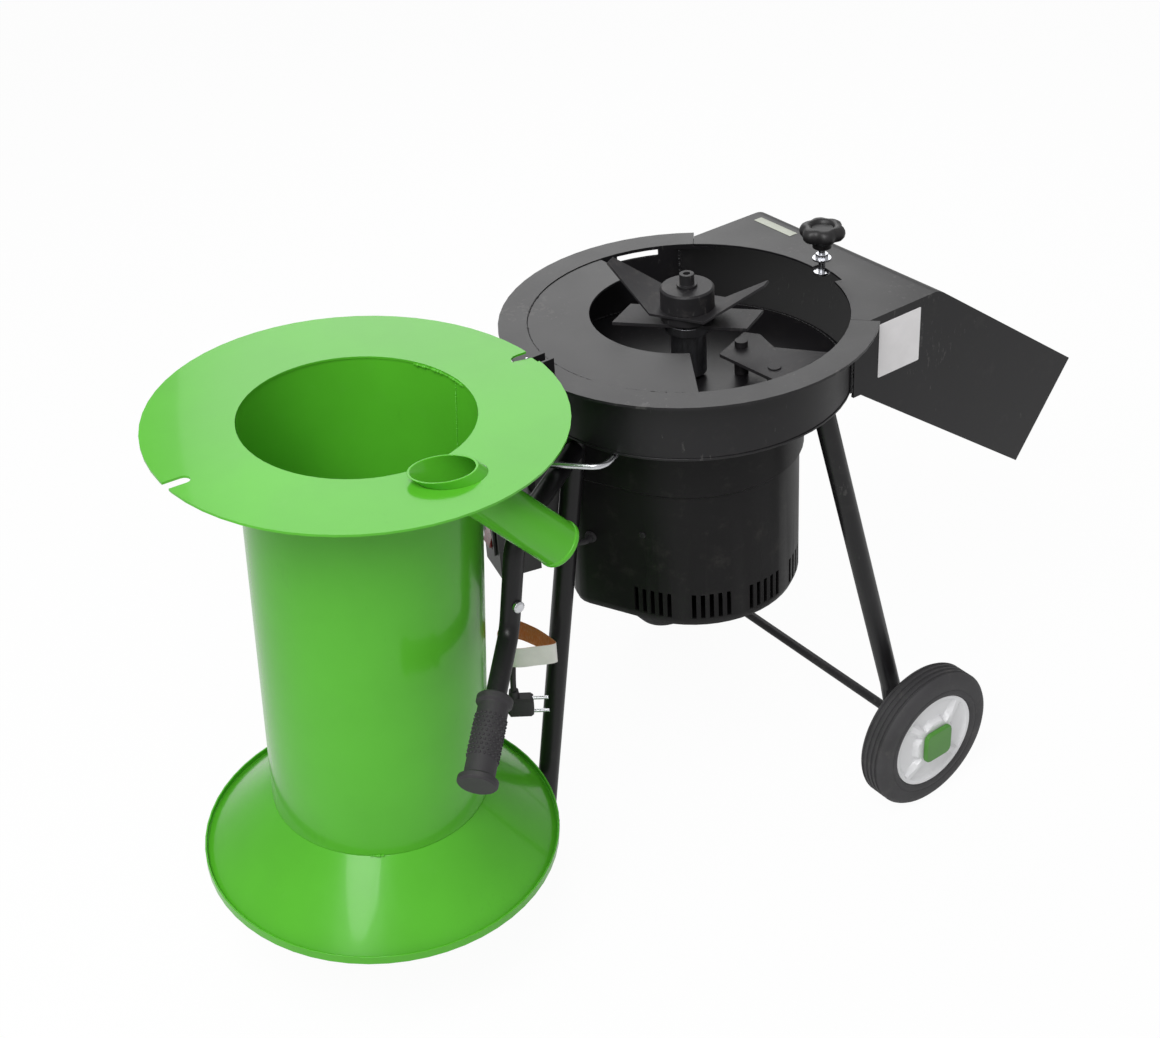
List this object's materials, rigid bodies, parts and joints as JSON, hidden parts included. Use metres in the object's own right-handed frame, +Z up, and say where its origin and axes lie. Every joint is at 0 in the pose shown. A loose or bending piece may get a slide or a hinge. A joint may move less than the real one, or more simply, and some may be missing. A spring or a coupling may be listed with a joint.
{
  "type": "garden shredder",
  "caption": "Electric garden shredder on a wheeled tripod: knife rotor in a round pan, sloping discharge chute, and a flared intake hopper hinged to the rim, shown open.",
  "frame": {"origin": "on the floor, at the middle of the flat face under the front foot", "axes": "+Z up, +X from the front foot towards the discharge chute and the wheels, +Y to the machine's left"},
  "size_m": [1.1254, 0.5406, 0.7055],
  "materials": {
    "black_paint": "satin black powder coat",
    "green_paint": "gloss green powder coat",
    "dark_steel": "blackened steel",
    "bright_zinc": "zinc plated",
    "steel": "bare steel",
    "copper": "enamelled copper windings",
    "black_rubber": "matt",
    "tyre_rubber": "matt",
    "black_plastic": "satin",
    "white_plastic": "satin",
    "green_plastic": "satin",
    "red_plastic": "gloss",
    "orange_paper": "matt"
  },
  "bodies": {
    "frame": {"pan_drum": "black_paint", "pan_floor": "black_paint", "feed_guard_plate": "black_paint", "discharge_chute": "black_paint", "front_leg": "black_paint", "rear_leg_right": "black_paint", "rear_leg_left": "black_paint", "handle_right": "black_paint", "handle_left": "black_paint", "switch_bracket": "black_paint", "hinge_bracket": "black_paint", "counter_plate": "dark_steel", "counter_bolt_1": "dark_steel", "counter_bolt_2": "dark_steel", "motor_housing": "dark_steel", "axle": "dark_steel", "bearing_upper": "bright_zinc", "bearing_lower": "bright_zinc", "handle_bolt_right": "bright_zinc", "handle_bolt_left": "bright_zinc", "hopper_rest": "bright_zinc", "hinge_pin": "bright_zinc", "plug_pin_1": "bright_zinc", "plug_pin_2": "bright_zinc", "stator": "copper", "front_foot": "black_rubber", "grip_right": "black_rubber", "grip_left": "black_rubber", "power_cord": "black_rubber", "motor_cable": "black_rubber", "cable_grommet": "black_rubber", "plug": "black_rubber", "motor_cover": "black_plastic", "switch_box": "black_plastic", "switch_frame": "black_plastic", "cord_gland": "black_plastic", "cable_gland": "black_plastic", "cord_tag": "orange_paper"},
    "rotor": {"motor_shaft": "steel", "armature": "steel", "rotor_hub": "dark_steel", "rotor_spacer": "dark_steel", "rotor_screw": "dark_steel", "knife": "dark_steel", "fan_blade": "dark_steel", "cooling_fan": "black_plastic"},
    "hopper": {"hopper_plate": "green_paint", "hopper_tube": "green_paint", "intake_cone": "green_paint", "branch_tube": "green_paint", "hinge_strap": "green_paint"},
    "clamp": {"clamp_stud": "bright_zinc"},
    "knob": {"star_knob": "black_plastic"},
    "wheel_right": {"tyre_right": "tyre_rubber", "wheel_disc_right": "white_plastic", "hub_cap_right": "green_plastic"},
    "wheel_left": {"tyre_left": "tyre_rubber", "wheel_disc_left": "white_plastic", "hub_cap_left": "green_plastic"},
    "rocker": {"switch_rocker": "red_plastic"}
  },
  "joints": [
    {"name": "rotor_spin", "type": "hinge", "parent": "frame", "child": "rotor", "pos_m": [0.2535, 0, 0.651], "axis": [0, 0, 1], "continuous": true},
    {"name": "hopper_hinge", "type": "hinge", "parent": "frame", "child": "hopper", "pos_m": [0.0438, -0.002, 0.663], "axis": [0, 0.9997, 0.0236], "range_deg": [0, 165]},
    {"name": "clamp_slide", "type": "hinge", "parent": "frame", "child": "clamp", "pos_m": [0.2535, 0, 0.651], "axis": [0, 0, 1], "range_deg": [-9, 1]},
    {"name": "knob_turn", "type": "hinge", "parent": "clamp", "child": "knob", "pos_m": [0.43536, -0.01944, 0.691], "axis": [0, 0, 1], "continuous": true},
    {"name": "wheel_right_spin", "type": "hinge", "parent": "frame", "child": "wheel_right", "pos_m": [0.4295, -0.218, 0.092], "axis": [0, 1, 0], "continuous": true},
    {"name": "wheel_left_spin", "type": "hinge", "parent": "frame", "child": "wheel_left", "pos_m": [0.4295, 0.261, 0.092], "axis": [0, 1, 0], "continuous": true},
    {"name": "switch_rocker_tilt", "type": "hinge", "parent": "frame", "child": "rocker", "pos_m": [0.00543, 0.04629, 0.447], "axis": [0.2419, 0.9703, 0], "range_deg": [-14, 0]}
  ]
}
